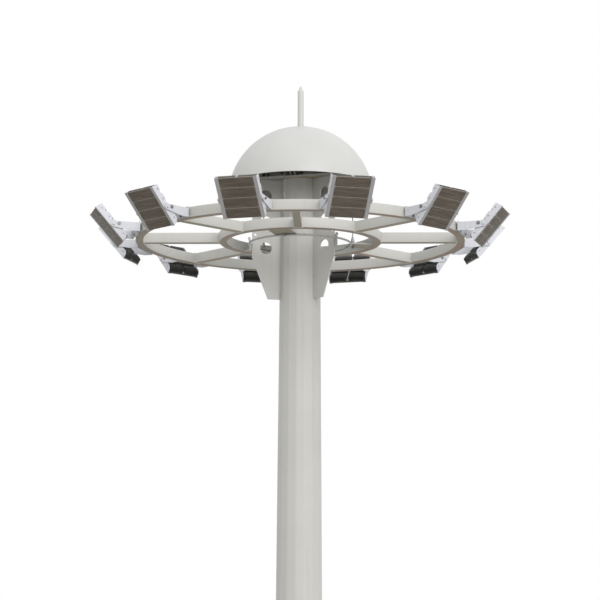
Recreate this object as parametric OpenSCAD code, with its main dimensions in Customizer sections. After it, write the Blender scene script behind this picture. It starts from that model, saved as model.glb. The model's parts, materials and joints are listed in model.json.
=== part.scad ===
// High mast floodlight tower with a ring carriage that is lowered for service.
// Millimetres, +Z up. The origin is the centre of the base flange's underside.
// Azimuths are in degrees from -Y, growing towards +X.

/* [Mast] */
// Height of the pole's top above the flange's underside
mast_h = 16000; // [12000:100:20000]
// Diameter of the pole's top, over its corners
pole_top_d = 306; // [250:1:320]
// Growth of the pole's diameter over each metre downwards
pole_taper = 14; // [8:0.5:16]
// Number of flat sides of the pole
pole_sides = 16; // [16, 18, 20]
// Wall thickness of the lower section
lower_wall = 6; // [4:0.5:10]
// Wall thickness of the upper section
upper_wall = 5; // [4:0.5:8]
// Height of the upper section's bottom edge
slip_z = 8400; // [5000:100:10000]
// Overlap of the two sections
slip_len = 700; // [500:50:1000]
// Gap between the two sections where they overlap
slip_fit = 0.3; // [0.2:0.1:0.6]

/* [Base] */
// Thickness of the base flange
flange_t = 30; // [20:1:45]
// Diameter of the circle of anchor bolt holes
anchor_pcd = 690; // [640:5:840]
// Width of the flange outside the circle of anchor bolt holes
flange_edge = 55; // [40:1:80]
// Diameter of each anchor bolt hole
anchor_hole_d = 36; // [24:1:42]
// Number of anchor bolt holes
anchor_n = 12; // [8, 12, 16]
// Diameter of the cable hole in the flange
cable_hole_d = 110; // [60:5:140]
// Distance of the cable hole's middle from the mast's axis
cable_hole_r = 110; // [0:5:130]
// Height of the stiffeners above the flange
stiffener_h = 220; // [120:10:320]
// Thickness of each stiffener
stiffener_t = 12; // [8:1:20]

/* [Door] */
// Width of the door frame
door_w = 240; // [180:5:280]
// Height of the door frame
door_h = 640; // [400:10:900]
// Height of the door's middle above the flange's underside
door_z = 1000; // [800:10:1400]
// Wall thickness of the door frame
door_frame_wall = 10; // [6:1:14]
// Radius of the door's corners
door_corner_r = 45; // [20:1:60]
// How far the frame stands proud of the pole's flat side
door_proud = 14; // [8:1:30]
// Thickness of the door plate
door_plate_t = 5; // [3:0.5:8]

/* [Guide fins and head] */
// Reach of the guide fins from the mast's axis
fin_reach = 378; // [315:1:455]
// Thickness of each guide fin
fin_t = 10; // [6:1:14]
// Length of the fin's straight outer edge
fin_straight = 612; // [560:2:700]
// Length of the whole fin
fin_len = 928; // [880:2:1100]
// How far the fin's lower end stands back from its outer edge
fin_toe_back = 124; // [80:1:150]
// Diameter of the large holes in the fins
fin_hole_d = 92; // [50:1:100]
// Distance of the large holes' middles from the fin's outer edge
fin_hole_back = 108; // [70:1:108]
// Depth of the first large hole below the head plate
fin_hole_first = 123; // [90:1:160]
// Distance from one large hole to the next
fin_hole_pitch = 204.5; // [150:0.5:230]
// Thickness of the head plate
head_plate_t = 16; // [10:1:25]
// How far the head plate's corners stand out past the fins
head_plate_margin = 6; // [2:1:20]

/* [Dome and rod] */
// How far the dome's rim stands out past the ropes
dome_over_ropes = 134; // [110:1:200]
// Thickness of the dome's shell
dome_wall = 4; // [2:0.5:6]
// Depth of the dome's rim below the head plate's underside
dome_rim_drop = 35; // [10:1:60]
// Height of the dome from its rim to its top
dome_h = 464; // [400:1:540]
// Diameter of the lightning rod
rod_d = 47; // [20:1:60]
// Height of the rod's tip above the dome's top
rod_above_dome = 338; // [200:2:800]
// Length of the rod's point
rod_point = 48; // [20:1:120]

/* [Lifting ropes] */
// Diameter of each wire rope
rope_d = 8; // [5:0.5:10]
// Gap between the guide ring and the middle of each rope
rope_gap = 17; // [12:1:40]
// Outer radius of each sheave
sheave_r = 75; // [62:0.5:90]
// Thickness of each sheave
sheave_t = 24; // [18:1:30]
// Depth of the rope's middle below the sheave's rim
rope_sink = 7; // [5:0.5:9]
// Gap between the sheaves and the head plate
sheave_clear = 15; // [8:1:30]
// Diameter of the sheaves' axles
axle_d = 20; // [12:1:25]

/* [Carriage] */
// Depth of the parked carriage's underside below the head plate's underside
park_drop = 481; // [460:1:520]
// Outer radius of the outer ring
outer_ring_r = 1265; // [1100:5:1600]
// Outer radius of the middle ring
middle_ring_r = 622; // [580:1:760]
// Width of the box section of rings and spokes
box_w = 60; // [40:1:80]
// Height of the box section of rings and spokes
box_h = 80; // [60:1:100]
// Wall thickness of the box section
box_wall = 4; // [3:0.5:6]
// Number of spokes
spoke_n = 8; // [6, 8, 10, 12]
// Diameter of the round bar of the guide ring
guide_bar_d = 16; // [12:1:20]
// Gap between the guide ring and the guide fins
guide_gap = 7; // [6:0.5:12]
// Width of the guide horns, away from the mast
horn_w = 16; // [12:1:24]
// Thickness of the guide horns
horn_t = 14; // [8:1:20]
// Width of the three rope plates
rope_plate_w = 170; // [120:2:220]
// Thickness of the three rope plates
rope_plate_t = 10; // [6:1:14]

/* [Floodlights] */
// Number of floodlights
lamp_n = 12; // [6, 8, 10, 12]
// Azimuth of the first floodlight
lamp_first_az = 15; // [0:1:30]
// Distance of the tilt pivot outside the outer ring
pivot_reach = 205; // [190:1:260]
// Height of the tilt pivot above the carriage's underside
pivot_h = 49; // [30:1:70]
// Tilt of the lamp's face from horizontal
tilt = 49; // [20:1:70]
// Distance of the face in front of the pivot
pivot_back = 25; // [18:1:35]
// Distance of the face's middle above the pivot, along the face
pivot_below = 20; // [0:1:40]
// Number of modules in a floodlight
module_n = 4; // [3, 4]
// Distance from one module to the next
module_pitch = 82; // [70:1:90]
// Gap between two modules
module_gap = 5; // [3:1:10]
// Visible width of the modules
face_w = 256; // [200:2:280]
// Depth of a floodlight from its face to the fins' tips
lamp_depth = 54; // [45:1:70]
// Width of the gap between the two halves of a module's heat sink
sink_gap = 25; // [10:1:40]
// Width of the front flange of a side plate
side_flange_w = 28; // [15:1:35]
// Thickness of the side plates
side_t = 3; // [2:0.5:5]
// Thickness of the yoke's plates
yoke_t = 5; // [4:0.5:8]
// Gap between a side plate and the yoke's arm
yoke_gap = 5; // [5:0.5:10]
// Diameter of the pivot pin
pin_d = 12; // [8:1:16]
// Radial clearance of the pin in the yoke's hole
pin_fit = 0.1; // [0.05:0.01:0.1]

/* [Hidden] */
function two_digits(i) = str(i < 10 ? "0" : "", i);
function lamp_name(i, part) = str("floodlight_", two_digits(i), "_", part);
$fn = 64;
eps = 1;
seat_gap = 0.3;
paint = [0.80, 0.79, 0.76];
steel = [0.62, 0.63, 0.64];
dark = [0.20, 0.19, 0.18];
lens = [0.31, 0.27, 0.23];

flange_d = anchor_pcd + 2 * flange_edge;
ring_z = mast_h - park_drop;
plate_top = mast_h + head_plate_t;
fin_az = [-75, 45, 165];
rope_az = [for (a = fin_az) a + 60];
side_angle = 360 / pole_sides;
side_cos = cos(side_angle / 2);

// Radius over the corners of the upper section's outside, and of the lower section's
function pole_r(z) = (pole_top_d + pole_taper * (mast_h - z) / 1000) / 2;
function lower_r(z) = pole_r(z) - (upper_wall + slip_fit) / side_cos;

door_az = fin_az[0] + side_angle * (ceil(75 / side_angle) - 0.5);
door_front = lower_r(door_z) * side_cos + door_proud;

fin_toe_r = fin_reach - fin_toe_back;
fin_hole_r = fin_reach - fin_hole_back;
head_plate_in_r = (fin_reach + head_plate_margin) / 2;

guide_r = fin_reach + guide_gap + guide_bar_d / 2;
guide_z = ring_z - guide_bar_d / 2;
horn_in = fin_reach + guide_gap + 1;
rope_r = guide_r + guide_bar_d / 2 + rope_gap;

dome_rim_r = rope_r + dome_over_ropes;
dome_sphere_r = (pow(dome_rim_r, 2) + pow(dome_h, 2)) / (2 * dome_h);
dome_z = mast_h - dome_rim_drop + dome_h - dome_sphere_r;
dome_in_r = dome_sphere_r - dome_wall;
dome_top = dome_z + dome_sphere_r;
rod_tip_r = 2;

groove_r = sheave_r - rope_sink;
sheave_axle_h = sheave_r + sheave_clear;
sheave_outer_r = rope_r - groove_r;
rope_in_r = pole_r(mast_h) * side_cos - upper_wall - 2 * rope_d;
sheave_inner_r = rope_in_r + groove_r;
sheave_z = plate_top + sheave_axle_h;
groove_depth = groove_r - rope_d / 2 - 0.2;
cheek_t = 6;
cheek_in = sheave_t / 2 + 2;

socket_d = 28;
socket_h = 60;

pivot_r = outer_ring_r + pivot_reach;
side_in = face_w / 2 + side_flange_w - side_t;
side_out = side_in + side_t;
arm_in = side_out + yoke_gap;
arm_out = arm_in + yoke_t;
lamp_h = module_n * module_pitch + 4;
lens_t = 3;
arm_end_r = 22;

// Puts something drawn along +X at an azimuth
module at_az(az) { rotate([0, 0, az - 90]) children(); }

// An upright plate in the plane of the mast's axis, from points of radius and height
module radial_plate(points, t) {
    rotate([90, 0, 0]) linear_extrude(t, center = true) polygon(points);
}

// A many-sided tapered bar between two heights
module tapered(z0, r0, z1, r1) {
    translate([0, 0, z0]) rotate([0, 0, fin_az[0] - 90])
        linear_extrude(z1 - z0, scale = r1 / r0) circle(r0, $fn = pole_sides);
}

// A plate with round corners, lying in XY
module rounded_plate(w, h, r, t) {
    linear_extrude(t) union() {
        square([w - 2 * r, h], center = true);
        square([w, h - 2 * r], center = true);
        for (x = [-1, 1], y = [-1, 1])
            translate([x * (w / 2 - r), y * (h / 2 - r)]) circle(r);
    }
}

// A rounded bar through the pole's wall at the door, from the radius r0 to r1
module door_block(grow, r0, r1) {
    at_az(door_az) translate([r0, 0, door_z]) rotate([90, 0, 90])
        rounded_plate(door_w + 2 * grow, door_h + 2 * grow, door_corner_r + grow, r1 - r0);
}

module base_flange() {
    color(paint) difference() {
        cylinder(d = flange_d, h = flange_t, $fn = 96);
        for (i = [0:anchor_n - 1])
            at_az(door_az + (i + 0.5) * 360 / anchor_n)
                translate([anchor_pcd / 2, 0, -eps]) cylinder(d = anchor_hole_d, h = flange_t + 2 * eps);
        at_az(door_az + 180) translate([cable_hole_r, 0, -eps])
            cylinder(d = cable_hole_d, h = flange_t + 2 * eps);
    }
}

module base_stiffeners() {
    foot_r = lower_r(0) - lower_wall;
    outer = flange_d / 2 - 12;
    nose = 25;
    color(paint) difference() {
        for (i = [0:anchor_n - 1])
            at_az(door_az + i * 360 / anchor_n)
                radial_plate([[foot_r, flange_t], [outer, flange_t], [outer, flange_t + nose],
                              [lower_r(0) + nose, flange_t + stiffener_h], [foot_r, flange_t + stiffener_h]],
                             stiffener_t);
        tapered(0, lower_r(0), slip_z, lower_r(slip_z));
    }
}

module lower_section() {
    top = slip_z + slip_len;
    inset = lower_wall / side_cos;
    color(paint) difference() {
        tapered(flange_t, lower_r(flange_t), top, lower_r(top));
        tapered(flange_t - eps, lower_r(flange_t - eps) - inset, top + eps, lower_r(top + eps) - inset);
        door_block(seat_gap, 0, door_front + 50);
    }
}

module door_frame() {
    depth = 70;
    color(paint) difference() {
        door_block(0, door_front - depth, door_front);
        door_block(-door_frame_wall, door_front - depth - eps, door_front + eps);
    }
}

module access_door() {
    color(paint) door_block(0, door_front, door_front + door_plate_t);
}

module upper_section() {
    inset = upper_wall / side_cos;
    color(paint) difference() {
        tapered(slip_z, pole_r(slip_z), mast_h, pole_r(mast_h));
        tapered(slip_z - eps, pole_r(slip_z - eps) - inset, mast_h + eps, pole_r(mast_h + eps) - inset);
    }
}

module guide_fins() {
    inner = pole_top_d / 4;
    color(paint) difference() {
        for (az = fin_az) at_az(az)
            radial_plate([[inner, mast_h], [fin_reach, mast_h], [fin_reach, mast_h - fin_straight],
                          [fin_toe_r, mast_h - fin_len], [inner, mast_h - fin_len]], fin_t);
        tapered(mast_h - fin_len - eps, pole_r(mast_h - fin_len - eps), mast_h + eps, pole_r(mast_h + eps));
        for (az = fin_az, k = [0:2]) at_az(az)
            translate([fin_hole_r, 0, mast_h - fin_hole_first - k * fin_hole_pitch])
                rotate([90, 0, 0]) cylinder(d = fin_hole_d, h = 3 * fin_t, center = true);
        for (az = fin_az) at_az(az)
            translate([fin_reach - 25, 0, mast_h - fin_hole_first - 1.5 * fin_hole_pitch])
                rotate([90, 0, 0]) cylinder(d = 20, h = 3 * fin_t, center = true);
    }
}

module head_plate() {
    color(paint) difference() {
        translate([0, 0, mast_h]) intersection() {
            rotate([0, 0, fin_az[0] - 90]) cylinder(r = 2 * head_plate_in_r, h = head_plate_t, $fn = 3);
            cylinder(r = fin_reach + head_plate_margin - 1, h = head_plate_t, $fn = 96);
        }
        for (az = rope_az) at_az(az)
            translate([rope_in_r, 0, mast_h - eps]) cylinder(d = 3 * rope_d, h = head_plate_t + 2 * eps);
    }
}

module sheave_brackets() {
    outer = sheave_outer_r + 30;
    low = 60;
    color(steel) for (az = rope_az) at_az(az) {
        for (side = [-1, 1])
            translate([0, side * (cheek_in + cheek_t / 2), plate_top])
                radial_plate([[rod_d + 15, 0], [head_plate_in_r - 2, 0], [outer, low],
                              [outer, sheave_axle_h + 20], [sheave_outer_r, sheave_axle_h + 45],
                              [sheave_inner_r, sheave_axle_h + 45], [rod_d + 15, 30]], cheek_t);
        for (r = [sheave_inner_r, sheave_outer_r])
            translate([r, 0, sheave_z]) rotate([90, 0, 0])
                cylinder(d = axle_d, h = 2 * (cheek_in + cheek_t), center = true);
    }
}

module sheave() {
    bottom_w = rope_d + 1;
    difference() {
        rotate_extrude() polygon([
            [axle_d / 2 + 0.1, -sheave_t / 2], [sheave_r, -sheave_t / 2], [sheave_r, -sheave_t / 2 + 3],
            [groove_depth, -bottom_w / 2], [groove_depth, bottom_w / 2],
            [sheave_r, sheave_t / 2 - 3], [sheave_r, sheave_t / 2], [axle_d / 2 + 0.1, sheave_t / 2]]);
        for (k = [0:4]) rotate([0, 0, 72 * k]) translate([groove_depth * 0.6, 0, -sheave_t])
            cylinder(d = groove_depth * 0.36, h = 2 * sheave_t);
    }
}

module sheaves() {
    color(dark) for (az = rope_az) at_az(az)
        for (r = [sheave_inner_r, sheave_outer_r])
            translate([r, 0, sheave_z]) rotate([90, 0, 0]) sheave();
}

// A quarter turn of rope over a sheave, starting at a_start degrees from outwards
module rope_turn(r, a_start) {
    translate([r, 0, sheave_z]) rotate([90, 0, 0]) rotate([0, 0, a_start])
        rotate_extrude(angle = 90) translate([groove_r, 0]) circle(d = rope_d, $fn = 24);
}

module lift_ropes() {
    bottom = ring_z + rope_plate_t + socket_h + seat_gap;
    hidden_end = mast_h - 250;
    color(steel) for (az = rope_az) at_az(az) union() {
        translate([rope_r, 0, bottom]) cylinder(d = rope_d, h = sheave_z - bottom, $fn = 24);
        rope_turn(sheave_outer_r, 0);
        translate([sheave_inner_r, 0, sheave_z + groove_r]) rotate([0, 90, 0])
            cylinder(d = rope_d, h = sheave_outer_r - sheave_inner_r, $fn = 24);
        rope_turn(sheave_inner_r, 90);
        translate([rope_in_r, 0, hidden_end]) cylinder(d = rope_d, h = sheave_z - hidden_end, $fn = 24);
    }
}

// The space inside the dome, drawn in by a gap
module dome_inside(gap) { translate([0, 0, dome_z]) sphere(dome_in_r - gap, $fn = 128); }

module dome_supports() {
    arm_w = 40;
    arm_t = 10;
    pad_h = 70;
    inner = head_plate_in_r / 2;
    color(paint) for (az = fin_az) at_az(az) union() {
        intersection() {
            translate([inner, -arm_w / 2, plate_top]) cube([dome_sphere_r - inner, arm_w, arm_t]);
            dome_inside(seat_gap);
        }
        difference() {
            intersection() {
                translate([inner, -arm_w / 2, plate_top]) cube([dome_sphere_r - inner, arm_w, pad_h]);
                dome_inside(seat_gap);
            }
            dome_inside(seat_gap + 8);
        }
    }
}

module dome() {
    color(paint) difference() {
        translate([0, 0, dome_z]) sphere(dome_sphere_r, $fn = 128);
        translate([0, 0, dome_z]) sphere(dome_in_r, $fn = 128);
        translate([0, 0, dome_top - dome_h - 2 * dome_sphere_r])
            cylinder(r = 2 * dome_sphere_r, h = 2 * dome_sphere_r);
        translate([0, 0, dome_z]) cylinder(d = rod_d + 2 * seat_gap, h = 2 * dome_sphere_r);
    }
}

module lightning_rod() {
    tip = dome_top + rod_above_dome;
    color(paint) {
        translate([0, 0, plate_top]) cylinder(d = rod_d, h = tip - rod_point - plate_top);
        translate([0, 0, tip - rod_point]) cylinder(r1 = rod_d / 2, r2 = rod_tip_r, h = rod_point);
        difference() {
            translate([0, 0, dome_top - 4]) cylinder(d = rod_d + 36, h = 14);
            translate([0, 0, dome_z]) sphere(dome_sphere_r + seat_gap, $fn = 128);
        }
        translate([0, 0, plate_top]) cylinder(d = rod_d + 30, h = 12);
    }
}

// A ring of box section with its underside on the carriage's underside
module box_ring(r) {
    translate([0, 0, ring_z]) rotate_extrude($fn = 128) difference() {
        translate([r - box_w, 0]) square([box_w, box_h]);
        translate([r - box_w + box_wall, box_wall]) square([box_w - 2 * box_wall, box_h - 2 * box_wall]);
    }
}

module outer_ring() { color(paint) box_ring(outer_ring_r); }

module middle_ring() { color(paint) box_ring(middle_ring_r); }

module spokes() {
    color(paint) for (i = [0:spoke_n - 1]) at_az(i * 360 / spoke_n)
        translate([0, 0, ring_z]) intersection() {
            difference() {
                translate([0, -box_w / 2, 0]) cube([outer_ring_r, box_w, box_h]);
                translate([0, -box_w / 2 + box_wall, box_wall])
                    cube([outer_ring_r, box_w - 2 * box_wall, box_h - 2 * box_wall]);
                translate([0, 0, -eps]) cylinder(r = middle_ring_r, h = box_h + 2 * eps, $fn = 128);
            }
            translate([0, 0, -eps]) cylinder(r = outer_ring_r - box_w, h = box_h + 2 * eps, $fn = 128);
        }
}

// One guide horn in the plane of radius and height: an upright strip that bends outwards
module horn_outline() {
    below = 68;
    bend_in = 50;
    bend_a = 38;
    square_r = bend_in + horn_w;
    translate([horn_in, -below]) square([horn_w, below]);
    translate([horn_in + square_r, 0]) intersection() {
        difference() {
            circle(square_r);
            circle(bend_in);
        }
        polygon([[0, 0], [-2 * square_r, 0], [-2 * square_r, 2 * square_r * tan(bend_a)]]);
    }
}

module guide_ring() {
    color(paint) union() {
        translate([0, 0, guide_z]) rotate_extrude($fn = 128)
            translate([guide_r, 0]) circle(d = guide_bar_d, $fn = 24);
        for (az = fin_az) at_az(az) translate([0, 0, guide_z])
            rotate([90, 0, 0]) linear_extrude(horn_t, center = true) horn_outline();
    }
}

module rope_plates() {
    inner = fin_reach + guide_gap;
    color(paint) for (az = rope_az) at_az(az)
        translate([0, 0, ring_z]) difference() {
            intersection() {
                translate([0, -rope_plate_w / 2, 0]) cube([middle_ring_r, rope_plate_w, rope_plate_t]);
                cylinder(r = middle_ring_r - box_w, h = rope_plate_t, $fn = 128);
            }
            translate([0, 0, -eps]) cylinder(r = inner, h = rope_plate_t + 2 * eps, $fn = 128);
        }
}

module rope_sockets() {
    color(steel) for (az = rope_az) at_az(az)
        translate([rope_r, 0, ring_z + rope_plate_t]) cylinder(d = socket_d, h = socket_h);
}

// A U bracket: a base plate with a saddle on the ring, and two arms with the pivot's holes
module yoke() {
    base_r = outer_ring_r + 12;
    margin = 2;
    plate_h = box_h - 2 * margin;
    arm_foot = plate_h - 10;
    union() {
        translate([base_r - yoke_t, -arm_out, ring_z + margin]) cube([yoke_t, 2 * arm_out, plate_h]);
        difference() {
            translate([outer_ring_r - 5, -60, ring_z + 6]) cube([base_r - outer_ring_r, 120, box_h - 12]);
            translate([0, 0, ring_z]) cylinder(r = outer_ring_r, h = box_h, $fn = 128);
        }
        for (side = [-1, 1]) difference() {
            translate([0, side * (arm_in + yoke_t / 2), 0]) rotate([90, 0, 0])
                linear_extrude(yoke_t, center = true) union() {
                    polygon([[base_r - yoke_t, ring_z + margin], [base_r + 60, ring_z + margin],
                             [pivot_r, ring_z + pivot_h - arm_end_r], [pivot_r, ring_z + pivot_h + arm_end_r],
                             [base_r + 60, ring_z + margin + arm_foot], [base_r - yoke_t, ring_z + margin + arm_foot]]);
                    translate([pivot_r, ring_z + pivot_h]) circle(arm_end_r);
                }
            translate([pivot_r, side * (arm_in + yoke_t / 2), ring_z + pivot_h]) rotate([90, 0, 0])
                cylinder(d = pin_d + 2 * pin_fit, h = 3 * yoke_t, center = true);
        }
    }
}

module yokes() {
    color(steel) for (i = [1:lamp_n]) at_az(lamp_first_az + (i - 1) * 360 / lamp_n) yoke();
}

// Places a floodlight drawn around its pivot: X along the pins, Y up the face, Z out of the face
module at_lamp(i) {
    rotate([0, 0, lamp_first_az + (i - 1) * 360 / lamp_n])
        translate([0, -pivot_r, ring_z + pivot_h]) rotate([180 - tilt, 0, 0]) children();
}

// One side plate: its back edge steps in and out once for each module
module side_plate(side) {
    low = pivot_below - lamp_h / 2;
    high = pivot_below + lamp_h / 2;
    notch = 14;
    back = [for (k = [module_n - 1:-1:0]) let (v = low + 2 + k * module_pitch) each
        [[pivot_back - lamp_depth, v + module_pitch - 8], [pivot_back - lamp_depth, v + 34],
         [pivot_back - lamp_depth + notch, v + 12]]];
    x_mid = side * (side_in + side_t / 2);
    translate([x_mid, 0, 0]) rotate([0, -90, 0]) linear_extrude(side_t, center = true)
        polygon(concat([[pivot_back, low], [pivot_back, high]], back));
    translate([side * (face_w / 2 + side_flange_w / 2), pivot_below, pivot_back - side_t / 2])
        cube([side_flange_w, lamp_h, side_t], center = true);
    translate([side * (side_out - eps), 0, 0]) rotate([0, side * 90, 0]) {
        cylinder(d = 2.4 * pin_d, h = yoke_gap - seat_gap + eps);
        cylinder(d = pin_d, h = arm_out - side_out + 2 * eps);
        translate([0, 0, arm_out - side_out + eps + seat_gap]) cylinder(d = 1.7 * pin_d, h = 8, $fn = 6);
    }
}

module floodlight_frame(i) {
    color(steel) at_lamp(i) for (side = [-1, 1]) union() side_plate(side);
}

module lamp_module() {
    plate_t = 11;
    h = module_pitch - module_gap;
    back = pivot_back - side_t;
    sink_w = side_in - sink_gap / 2 - 10;
    union() {
        translate([-side_in, -h / 2, back - plate_t]) cube([2 * side_in, h, plate_t]);
        translate([-face_w / 2 + 1, -h / 2 + 2, back - eps]) cube([face_w - 2, h - 4, lens_t]);
        for (side = [-1, 1])
            translate([side * (sink_gap / 2 + sink_w / 2), 0, (back - plate_t + pivot_back - lamp_depth) / 2 + 1])
                cube([sink_w, h - 4, lamp_depth - side_t - plate_t], center = true);
    }
}

module floodlight_modules(i) {
    color(lens) at_lamp(i) for (k = [0:module_n - 1])
        translate([0, pivot_below + (k - (module_n - 1) / 2) * module_pitch, 0]) lamp_module();
}

base_flange();
base_stiffeners();
lower_section();
door_frame();
access_door();
upper_section();
guide_fins();
head_plate();
sheave_brackets();
sheaves();
lift_ropes();
dome_supports();
dome();
lightning_rod();
outer_ring();
middle_ring();
spokes();
guide_ring();
rope_plates();
rope_sockets();
yokes();
for (i = [1:lamp_n]) {
    floodlight_frame(i);
    floodlight_modules(i);
}
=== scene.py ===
# %% [markdown]
# # A high mast floodlight tower, piece by piece
# The real thing is a sixteen-sided steel mast with a domed cap. A ring carriage hangs from three wire
# ropes under the cap and carries twelve LED floodlights, and a winch lowers it down the mast for
# service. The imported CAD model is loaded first. It fixes every size and every moving body, so each
# piece made here is placed from it and rides on one of its bodies.

# %% Load the frame
import json
import math
from math import radians

import bmesh
import bpy
from mathutils import Matrix, Vector


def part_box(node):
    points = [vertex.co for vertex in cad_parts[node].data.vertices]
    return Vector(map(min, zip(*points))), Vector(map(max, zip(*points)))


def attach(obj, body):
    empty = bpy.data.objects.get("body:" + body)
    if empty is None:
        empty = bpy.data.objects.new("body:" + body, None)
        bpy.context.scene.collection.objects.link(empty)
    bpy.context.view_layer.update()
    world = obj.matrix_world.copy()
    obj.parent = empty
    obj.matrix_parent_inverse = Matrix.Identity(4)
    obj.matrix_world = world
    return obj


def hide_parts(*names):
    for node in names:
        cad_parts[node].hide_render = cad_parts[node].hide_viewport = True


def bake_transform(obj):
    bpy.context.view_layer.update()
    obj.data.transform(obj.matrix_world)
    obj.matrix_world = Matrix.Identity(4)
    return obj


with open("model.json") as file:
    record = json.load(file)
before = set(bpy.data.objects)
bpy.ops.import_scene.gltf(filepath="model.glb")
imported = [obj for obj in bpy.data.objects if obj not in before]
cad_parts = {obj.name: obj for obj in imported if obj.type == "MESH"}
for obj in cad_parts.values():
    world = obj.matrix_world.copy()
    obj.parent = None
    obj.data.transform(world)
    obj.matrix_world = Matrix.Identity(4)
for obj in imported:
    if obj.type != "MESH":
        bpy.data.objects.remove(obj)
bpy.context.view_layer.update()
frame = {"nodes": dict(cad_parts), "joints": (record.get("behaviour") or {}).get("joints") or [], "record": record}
nodes = frame["nodes"]
joints = {j["name"]: j for j in frame["joints"]}

# %% [markdown]
# ## Sizes from the frame
# A fitter measures the steel before making what bolts to it. The boxes of the nodes and the joints'
# places give the mast's height, the carriage's level, the rings and the lamps' pivots. How far a node
# reaches from the axis, in all or at one level, is read from its points.

# %% Measure the frame
def reach(node, level=None):
    """How far from the mast's axis a node's points reach, in all or at one level."""
    return max(v.co.xy.length for v in nodes[node].data.vertices
               if level is None or abs(v.co.z - level) < 0.002)

def heights(node):
    """A node's lowest and highest level."""
    return [corner.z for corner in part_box(node)]

ring_z, ring_top = heights("outer_ring")
ring_r, middle_r, dome_rim_r = (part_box(node)[1].x for node in ("outer_ring", "middle_ring", "dome"))
mast_top, plate_top = heights("head_plate")
dome_rim_z, dome_top = heights("dome")
dome_h = dome_top - dome_rim_z
dome_r = (dome_rim_r ** 2 + dome_h ** 2) / (2 * dome_h)
box_w, box_h, tube_corner = 0.060, ring_top - ring_z, 0.007
ring_mid = ring_z + box_h / 2
print(f"carriage at {ring_z:.3f}, rings {ring_r:.3f} and {middle_r:.3f}, mast top {mast_top:.3f}")

# %% [markdown]
# ## Places round the mast
# Azimuths are counted in degrees from the camera's side towards +X. A piece that repeats round the
# mast is shaped once at azimuth 0, where outwards is -Y, and turned to each of its azimuths. LYING
# lays a cylinder along Y, and fold_turn brings a cylinder's corners to the pole's.

# %% Turn, shift and find places
def azimuth_of(point):
    return math.degrees(math.atan2(point.x, -point.y))

def spot(azimuth, r, z):
    """The point at an azimuth, a distance from the axis and a height."""
    a = radians(azimuth)
    return Vector((r * math.sin(a), -r * math.cos(a), z))

def turn_z(degrees):
    return Matrix.Rotation(radians(degrees), 4, "Z")

def turned(azimuths):
    return [turn_z(azimuth) for azimuth in azimuths]

def shift(x=0.0, y=0.0, z=0.0):
    return Matrix.Translation((x, y, z))

LYING = (radians(90), 0, 0)
lamps = {name[:13]: Vector(joint["pos_m"]) for name, joint in joints.items() if "tilt" in name}
lamp_azimuths = [azimuth_of(pivot) for pivot in lamps.values()]
pivot_r, pivot_z = lamps["floodlight_01"].xy.length, lamps["floodlight_01"].z
rope_azimuths, fin_azimuths = (-15, 105, 225), (-75, 45, 165)
spoke_azimuths = range(0, 360, 45)
fold_turn = fin_azimuths[0] - 90
print(len(lamps), "floodlights, pivots at", round(pivot_r, 3), "from the axis")

# %% [markdown]
# ## Camera and light
# A long lens stands three metres below the carriage, far away, and looks up at the mast's head. The
# studio is a plain white sky over a pale floor. A wide, weak sun from the front right gives the dome
# and the pole their soft modelling, and the floor sends some light back to the undersides.

# %% Place the camera
def put(name, data):
    """A new object for some data, linked into the scene."""
    made = bpy.data.objects.new(name, data)
    bpy.context.collection.objects.link(made)
    return made

def look_up(distance, azimuth, height, pitch, roll, lens):
    """A camera at an azimuth round the mast, pitched up and rolled by degrees."""
    camera = put("camera", bpy.data.cameras.new("camera"))
    camera.location = spot(azimuth, distance, height)
    aim = turn_z(azimuth) @ Matrix.Rotation(radians(90 + pitch), 4, "X") @ turn_z(roll)
    camera.rotation_euler = aim.to_euler()
    camera.data.lens = lens
    camera.data.clip_end = 1500
    return camera

scene = bpy.context.scene
scene.camera = look_up(distance=16.08, azimuth=1.5, height=ring_z - 3.087, pitch=9.34, roll=0.2, lens=127.56)
print("camera at", [round(v, 2) for v in scene.camera.location])

# %% Light the studio
scene.view_settings.view_transform = "Standard"
scene.world = bpy.data.worlds.new("white sky")
scene.world.use_nodes = True
sky = scene.world.node_tree.nodes["Background"]
sky.inputs["Color"].default_value = (1, 1, 1, 1)
sky.inputs["Strength"].default_value = 1.0

def sun(name, energy, spread, azimuth, height):
    """A sun from an azimuth and a height above the horizon, in degrees."""
    light = put(name, bpy.data.lights.new(name, "SUN"))
    light.data.energy = energy
    light.data.angle = radians(spread)
    light.rotation_euler = (radians(90 - height), 0, radians(azimuth))

sun("soft sun", energy=1.8, spread=45, azimuth=28, height=26)
print("sky strength", sky.inputs["Strength"].default_value)

# %% [markdown]
# ## Selecting and shaping
# An operator acts on everything that is selected, so each piece starts with nothing selected, and
# faces are then chosen in code by where they lie. These few helpers do what a modeller's hand does:
# pick, bevel, spin, apply a modifier, set the piece down in its place.

# %% Selection helpers
def only(*objects):
    """Selects these objects and nothing else, and makes the first one active."""
    if bpy.context.object and bpy.context.object.mode != "OBJECT":
        bpy.ops.object.mode_set(mode="OBJECT")
    bpy.ops.object.select_all(action="DESELECT")
    for o in objects:
        o.select_set(True)
    bpy.context.view_layer.objects.active = objects[0] if objects else None

def start(make, name, stretch=(1, 1, 1), **settings):
    """A new primitive, stretched along its own axes, in edit mode with all of it selected."""
    only()
    make(**settings)
    made = bpy.context.object
    made.name = name
    made.scale = stretch
    bpy.ops.object.transform_apply(location=True, rotation=True, scale=True)
    bpy.ops.object.mode_set(mode="EDIT")
    return made

def cube(name, middle, size):
    return start(bpy.ops.mesh.primitive_cube_add, name, size, size=1, location=middle)

def cylinder(name, sides, radius, depth, **settings):
    return start(bpy.ops.mesh.primitive_cylinder_add, name, vertices=sides, radius=radius, depth=depth,
                 **settings)

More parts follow.
